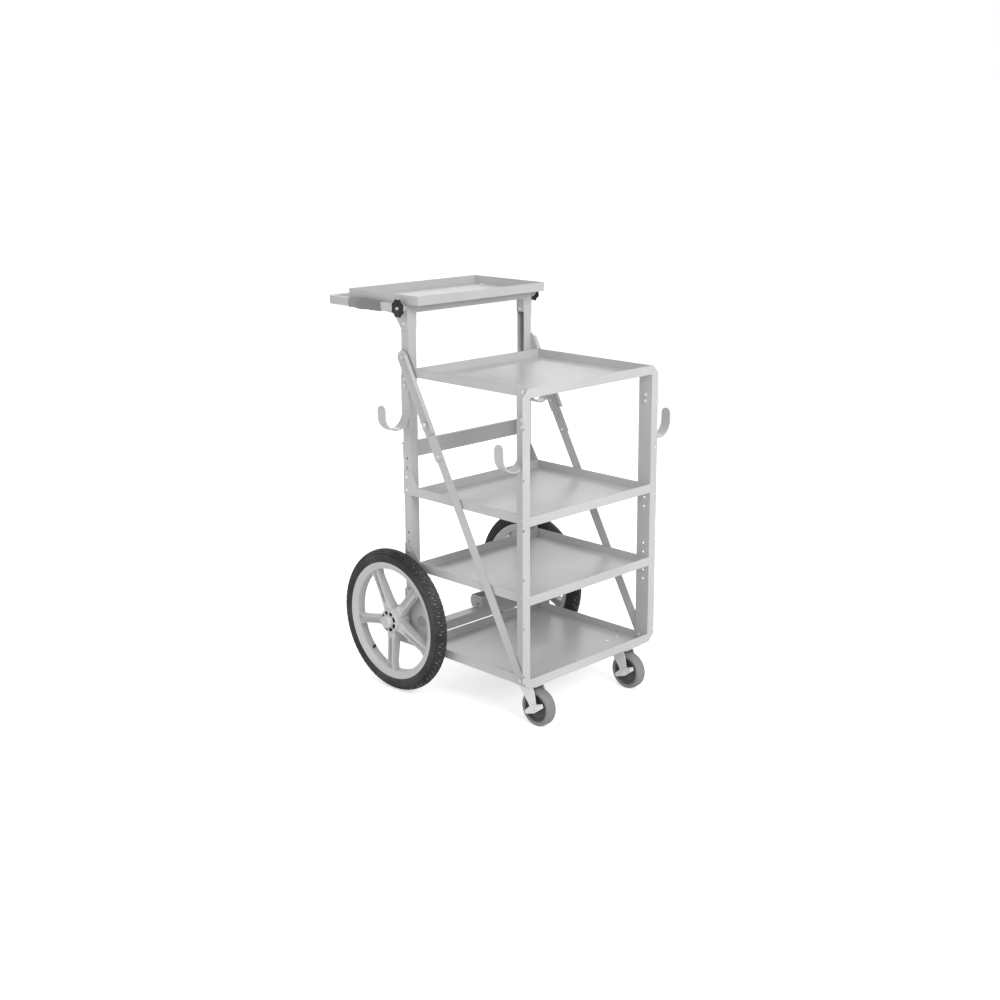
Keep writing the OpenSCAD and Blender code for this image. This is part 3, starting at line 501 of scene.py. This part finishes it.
def caster_disc(centre, radius, half, boss):
    """Moulded core: a web sunk below its rim and its boss, with six ribs on each side."""
    boss, edge = boss / MM, half / MM
    r = np.array([5.1, 6, 12.4, 13, 14.5, 31, 33, 34.5, radius / MM])
    x = np.array([boss, boss, boss, boss - 1, 9.0, 9.0, 12.5, edge - 2.4, edge - 2.0])
    r, x = np.concatenate([r, r[::-1]]), np.concatenate([x, -x[::-1]])
    a = np.arange(144) / 144 * TURN
    web = (smooth((r - 14) / 3) * (1 - smooth((r - 29) / 3)))[:, None]
    ribs = (1 - smooth((np.abs(((a / TURN * 6) % 1.0) - 0.5) - 0.05) / 0.05))[None, :]
    x = x[:, None] + np.sign(x)[:, None] * 3.5 * web * ribs
    points = np.stack([x, r[:, None] * np.cos(a), r[:, None] * np.sin(a)], -1) * MM
    return shell(points + np.asarray(centre), close_rows=True)


def pressed_plate(outline, inner, outer, corner, centre):
    """Closed plate in the YZ plane with rounded corners: its outline, a list of (y, z), runs
    round at x = inner and at x = outer, drawn in by a soft edge of 0.6 mm on both faces."""
    loop = rounded_loop(outline, corner, 6)
    middle_of_loop = loop.mean(0)
    edge = 0.6 * MM
    sign = 1.0 if outer > inner else -1.0
    away = loop - middle_of_loop
    soft = loop - away / np.linalg.norm(away, axis=1, keepdims=True) * edge
    rows = [(np.repeat(middle_of_loop[None], len(loop), 0), inner), (soft, inner),
            (loop, inner + sign * edge), (loop, outer - sign * edge), (soft, outer),
            (np.repeat(middle_of_loop[None], len(loop), 0), outer)]
    points = np.stack([np.concatenate([np.full((len(o), 1), x), o], 1) for o, x in rows])
    return shell(points + np.asarray(centre))


def fork_crown(swivel, half, low, high, reach):
    """Domed crown of the pressed fork: a square-ish ring that shrinks and rises to the plate.
    At angle a and step s the radius is that of a rounded square, pulled in by the dome."""
    s = np.array([0.0, 0.0, 0.35, 0.7, 0.9, 1.0, 1.0])[:, None]
    pull = np.array([0.0, 1.0, 1.0, 0.97, 0.90, 0.80, 0.0])[:, None]
    a = (np.arange(96) / 96 * TURN)[None, :]
    c, n = np.cos(a), np.sin(a)
    square = 1.0 / (np.abs(c) ** 5 + np.abs(n) ** 5) ** 0.2
    points = np.stack([pull * square * c * half, pull * square * n * reach,
                       low + (high - low) * s + 0 * a], -1)
    return shell(points + np.asarray(swivel))


for side in SIDES:
    axle = middle("caster_tread_" + side)
    swivel = np.array([axle[0], axle[1] + CASTER_TRAIL, 0.0])
    crown = 2.0 * axle[2] + 0.0065
    top = crown / MM
    cheek = np.array([[22, top + 4], [22, top - 6], [-12, 58], [-17, 48], [-20, 41],
                      [-36, 41], [-40, 50], [-33, top - 16], [-24, top + 4]]) * MM
    shells = [pressed_plate(cheek, k * 0.019, k * 0.022, 0.006, swivel) for k in (-1.0, 1.0)]
    shells.append(fork_crown(swivel, 0.022, crown, crown + 0.004, 0.023))
    shells.append(rod_along([axle[0] - 0.0284, axle[1], axle[2]], [1, 0, 0],
                            np.array([0, 4.6, 5, 5, 0]) * MM,
                            np.array([0, 0, 0.6, 56.8, 56.8]) * MM))
    for start, way in ((axle[0] + 0.0220, 1.0), (axle[0] - 0.0254, -1.0)):
        shells.append(rod_along([start, axle[1], axle[2]], [way, 0, 0],
                                np.array([0, 8, 8, 6.5, 5.1, 5.1, 0]) * MM,
                                np.array([0, 0, 2.2, 3, 3, 3.4, 3.4]) * MM, 6))
    piece("pressed_fork_" + side, shells, [zinc_plate], "swivel_fork_" + side,
          ["caster_fork_" + side], 32.0)

for side in SIDES:
    centre = middle("caster_tread_" + side)
    width, _, height = size("caster_tread_" + side)
    core = size("caster_wheel_" + side)[2] / 2.0
    boss = size("caster_wheel_" + side)[0] / 2.0
    body = "swivel_wheel_" + side
    piece("caster_tyre_" + side, [caster_tyre(centre, height / 2.0, width / 2.0, core)],
          [caster_rubber], body, ["caster_tread_" + side])
    piece("caster_disc_" + side, [caster_disc(centre, core, width / 2.0, boss)],
          [caster_core], body, ["caster_wheel_" + side])


# ---------------------------------------------------------------- handle

def handle_tube(pivot, half_span, reach, corner, thick, tall):
    """Rounded box section carried along the U of the handle: up one arm, round a quarter
    circle, across, round again and back. Distance t along the path gives its point and
    heading; near both ends the height follows a half circle about the pivot."""
    r = corner - thick / 2.0
    arm = reach - thick / 2.0 - r
    half = half_span - thick / 2.0
    end = tall / 2.0
    quarter = np.linspace(0, math.pi / 2, 13)
    nose = end * (1 - np.cos(np.linspace(0, math.pi / 2, 12)))
    straight = np.concatenate([nose, np.linspace(2 * end, end + arm, 14)])
    y = np.concatenate([straight - end, arm + r * np.sin(quarter[1:])])
    x = np.concatenate([0 * straight + half, half - r + r * np.cos(quarter[1:])])
    tall_at = np.concatenate([np.sqrt(np.clip(1 - (1 - nose / end) ** 2, 0.0, 1)),
                              np.ones(14 + 12)])
    heading = np.concatenate([0 * straight, quarter[1:]])
    x = np.concatenate([x, -x[::-1]])
    y = np.concatenate([y, y[::-1]])
    heading = np.concatenate([heading, math.pi - heading[::-1]])
    tall_at = np.concatenate([tall_at, tall_at[::-1]])
    section = rounded_box_section(thick / 2.0, tall / 2.0, 0.004, 5)
    out, up = section[:, 0][None, :], section[:, 1][None, :] * tall_at[:, None]
    points = np.stack([x[:, None] + out * np.cos(heading)[:, None],
                       y[:, None] + out * np.sin(heading)[:, None], up], -1)
    first, last = points[:1].mean(1, keepdims=True), points[-1:].mean(1, keepdims=True)
    points = np.concatenate([np.broadcast_to(first, points[:1].shape), points,
                             np.broadcast_to(last, points[:1].shape)])
    return shell(points + np.asarray(pivot))


low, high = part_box("handle_bar")
knob_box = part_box("knob_right")
pivot = np.array([0.0, (knob_box[0][1] + knob_box[1][1]) / 2.0, (low[2] + high[2]) / 2.0])
arm_tall = high[2] - low[2]
piece("handle_tube",
      [handle_tube(pivot, high[0], high[1] - pivot[1], HANDLE_CORNER, ARM_THICK, arm_tall)],
      [powder_coat], "handle", ["handle_bar"])


def grip_sleeve(centre, length, half_width, half_height):
    """Hand grip along Y: rounded box section swollen towards the back as a palm rest, with
    fine finger ridges over its front part and a rolled rim at each end."""
    t = np.linspace(0.0, 1.0, 241)[:, None]
    swell = 0.0026 * np.exp(-((t - 0.62) / 0.20) ** 2)
    ridges = 0.0016 * np.abs(np.sin(t * math.pi * 16)) * (1 - smooth((t - 0.36) / 0.04))
    ridges = ridges * smooth((t - 0.05) / 0.02)
    rim_roll = 0.0012 * (np.exp(-((t - 0.02) / 0.014) ** 2) + np.exp(-((t - 0.98) / 0.014) ** 2))
    swollen = swell + ridges + rim_roll - 0.0016
    section = rounded_box_section(1.0, 1.0, 0.42, 8)
    x = section[:, 0][None, :] * (half_width + 0.35 * swollen)
    z = section[:, 1][None, :] * (half_height + swollen * 1.25)
    y = (t - 0.5) * length + 0 * x
    points = np.stack([x, y, z], -1)
    points = np.concatenate([points[:1] * [0, 1, 0], points, points[-1:] * [0, 1, 0]])
    return shell(points + np.asarray(centre))


for side in SIDES:
    centre, lengths = middle("grip_" + side), size("grip_" + side)
    centre[2] = pivot[2]
    piece("hand_grip_" + side, [grip_sleeve(centre, lengths[1], lengths[0] / 2.0, 0.0142)],
          [grip_rubber], "handle", ["grip_" + side])


def clamp_knob(base, outward, radius, deep):
    """Lobed knob: along its axis a rounded profile from the back face to the front; round
    it the radius dips by eight scallops, less towards the middle of the faces. The profile's
    depth is scaled by MM once too often, so the knob comes out as a flat disc."""
    profile = np.array([[0, 0.0], [12, 0.0], [12.5, 2.6], [20.5, 3.0], [23.2, 4.6], [24, 7.5],
                        [24, 14], [23, 17.3], [20.5, 19.2], [16, 20.0], [14.6, 20.4],
                        [13.6, 22.2], [12, 23.0], [7.5, 23.1], [6.6, 22.3], [0, 22.3]])
    profile = profile * [radius / 0.024 * MM, deep / 23.1 * MM]
    a = (np.arange(192) / 192 * TURN)[None, :]
    scallop = (0.5 + 0.5 * np.cos(8 * a)) ** 1.6
    lobe = smooth((profile[:, :1] - 0.013) / 0.006)
    r = profile[:, :1] * (1 - 0.125 * scallop * lobe)
    x = base[0] + outward * profile[:, 1:] + 0 * a
    points = np.stack([x, base[1] + r * np.cos(a), base[2] + r * np.sin(a)], -1)
    return shell(points)


for side, s in SIDES.items():
    low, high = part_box("knob_" + side)
    outer = high[0] if s > 0 else low[0]
    inner = low[0] if s > 0 else high[0]
    radius = (high[2] - low[2]) / 2.0
    stud = rod_along([inner, pivot[1], pivot[2]], [s, 0, 0], [0, 0.003, 0.004, 0.004, 0],
                     [0, 0, 0.001, abs(outer - inner) - 0.023, abs(outer - inner) - 0.022], 32, 1)
    piece("clamp_knob_" + side,
          [clamp_knob([outer - s * KNOB_DEPTH, pivot[1], pivot[2]], s, radius, KNOB_DEPTH), stud],
          [knob_plastic, zinc_plate], "clamp_" + side, ["knob_" + side], 45.0)


# ---------------------------------------------------------------- stage, light and camera

def flat_stage():
    """Plain pale floor, flat and wide; it glows a little where the camera sees it directly."""
    reach = 14.0
    floor = shell(np.array([[[-reach, -reach, 0], [reach, -reach, 0]],
                            [[-reach, reach, 0], [reach, reach, 0]]], float),
                  close_columns=False)
    mesh = bpy.data.meshes.new("floor")
    mesh.from_pydata(floor[0], [], floor[1])
    made = bpy.data.objects.new("floor", mesh)
    bpy.context.scene.collection.objects.link(made)
    material = bpy.data.materials.new("pale floor")
    material.use_nodes = True
    w = Wires(material.node_tree)
    skin = material.node_tree.nodes["Principled BSDF"]
    place = w.add("ShaderNodeTexCoord")
    noise = w.add("ShaderNodeTexNoise", Vector=place.outputs["Object"], Scale=3.0, Detail=4.0)
    w.feed(skin, "Base Color", w.mix(noise.outputs["Fac"], grey(0.93), grey(0.90)))
    skin.inputs["Roughness"].default_value = 0.9
    skin.inputs["Emission Color"].default_value = grey(1.0)
    seen = w.add("ShaderNodeLightPath").outputs["Is Camera Ray"]
    w.feed(skin, "Emission Strength", w.math("MULTIPLY", seen, 0.52))
    mesh.materials.append(material)


def soft_light(name, place, aim, width, power):
    """Square area light at place, facing aim."""
    lamp = bpy.data.lights.new(name, "AREA")
    lamp.shape, lamp.size, lamp.energy = "SQUARE", width, power
    made = bpy.data.objects.new(name, lamp)
    made.location = place
    made.rotation_euler = (Vector(aim) - Vector(place)).to_track_quat("-Z", "Y").to_euler()
    bpy.context.scene.collection.objects.link(made)


flat_stage()
soft_light("key", (-1.2, -4.6, 3.6), (0, 0, 0.6), 3.0, 190.0)
soft_light("fill", (-4.6, 0.6, 2.6), (0, 0, 0.6), 2.6, 30.0)
soft_light("back", (2.8, 3.4, 3.4), (0, 0, 0.8), 2.4, 40.0)
world = bpy.data.worlds.new("studio")
world.use_nodes = True
w = Wires(world.node_tree)
sky = world.node_tree.nodes["Background"]
sky.inputs["Color"].default_value = (1, 1, 1, 1)
seen = w.add("ShaderNodeLightPath").outputs["Is Camera Ray"]
w.feed(sky, "Strength", w.math("ADD", 0.62, w.math("MULTIPLY", seen, 0.38)))
scene = bpy.context.scene
scene.world = world
scene.view_settings.view_transform = "Standard"

azimuth, elevation = math.radians(46.17), math.radians(13.22)      # where the camera stands
right = Vector((math.cos(azimuth), -math.sin(azimuth), 0.0))
back = Vector((-math.sin(azimuth) * math.cos(elevation),
               -math.cos(azimuth) * math.cos(elevation), math.sin(elevation)))
up = back.cross(right)
lens = bpy.data.cameras.new("camera")
lens.lens, lens.sensor_width = 52.4, 36.0
lens.shift_x, lens.shift_y = -0.0336, -0.0414
lens.clip_start, lens.clip_end = 0.05, 60.0
camera = bpy.data.objects.new("camera", lens)
turned = Matrix((right, up, back)).transposed().to_4x4()
camera.matrix_world = Matrix.Translation((-2.79905, -2.84218, 1.57582)) @ turned
scene.collection.objects.link(camera)
scene.camera = camera
